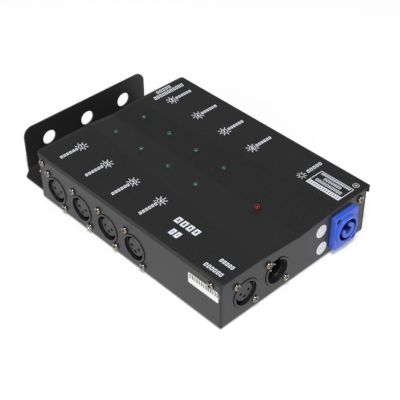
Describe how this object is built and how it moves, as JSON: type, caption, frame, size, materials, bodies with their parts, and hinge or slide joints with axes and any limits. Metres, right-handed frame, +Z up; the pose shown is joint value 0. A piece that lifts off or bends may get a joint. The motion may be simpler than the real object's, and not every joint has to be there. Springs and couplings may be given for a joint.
{
  "type": "dmx splitter",
  "caption": "Low sheet-metal lighting-control splitter with round sockets along its sides, a blue power inlet, indicator lights and a rear hanging bracket.",
  "frame": {"origin": "on the floor under the middle of the outline's box", "axes": "+X across the case to the right as seen from the inlet end, +Y from the inlet end to the hanging bracket, +Z up"},
  "size_m": [0.159, 0.2524, 0.0471],
  "materials": {
    "tray_paint": "satin dark grey powder coat",
    "cover_paint": "matt charcoal powder coat, printed",
    "bracket_paint": "satin black powder coat",
    "foot_rubber": "matt",
    "socket_plastic": "satin moulded nylon",
    "pin_metal": "bright plated",
    "inlet_plastic": "satin moulded nylon",
    "screw_nickel": "bright nickel plate",
    "screw_black": "black oxide",
    "green_lens": "clear tinted epoxy",
    "red_lens": "clear tinted epoxy",
    "board_laminate": "solder mask",
    "chip_resin": "moulded epoxy",
    "module_resin": "moulded case",
    "fuse_plastic": "moulded"
  },
  "bodies": {
    "root": {"base_tray": "tray_paint", "top_cover": "cover_paint", "mounting_bracket": "bracket_paint", "front_foot": "foot_rubber", "output_socket_1": "socket_plastic", "output_socket_2": "socket_plastic", "output_socket_3": "socket_plastic", "output_socket_4": "socket_plastic", "output_socket_5": "socket_plastic", "output_socket_6": "socket_plastic", "output_socket_7": "socket_plastic", "output_socket_8": "socket_plastic", "thru_socket": "socket_plastic", "input_socket": "socket_plastic", "input_pin_1": "pin_metal", "input_pin_2": "pin_metal", "input_pin_3": "pin_metal", "power_inlet": "inlet_plastic", "output_lamp_1": "green_lens", "output_lamp_2": "green_lens", "output_lamp_3": "green_lens", "output_lamp_4": "green_lens", "output_lamp_5": "green_lens", "output_lamp_6": "green_lens", "output_lamp_7": "green_lens", "output_lamp_8": "green_lens", "power_lamp": "red_lens", "socket_screw_1": "screw_nickel", "socket_screw_2": "screw_nickel", "socket_screw_3": "screw_nickel", "socket_screw_4": "screw_nickel", "socket_screw_5": "screw_nickel", "socket_screw_6": "screw_nickel", "socket_screw_7": "screw_nickel", "socket_screw_8": "screw_nickel", "socket_screw_9": "screw_nickel", "socket_screw_10": "screw_nickel", "socket_screw_11": "screw_nickel", "socket_screw_12": "screw_nickel", "socket_screw_13": "screw_nickel", "socket_screw_14": "screw_nickel", "socket_screw_15": "screw_nickel", "socket_screw_16": "screw_nickel", "socket_screw_17": "screw_nickel", "socket_screw_18": "screw_nickel", "socket_screw_19": "screw_nickel", "socket_screw_20": "screw_nickel", "cover_screw_1": "screw_nickel", "cover_screw_2": "screw_nickel", "cover_screw_3": "screw_nickel", "cover_screw_4": "screw_nickel", "inlet_screw_1": "screw_black", "inlet_screw_2": "screw_black", "bracket_screw_1": "screw_nickel", "bracket_screw_2": "screw_nickel", "main_board": "board_laminate", "signal_chip": "chip_resin", "power_module": "module_resin", "fuse_holder": "fuse_plastic"}
  },
  "joints": []
}
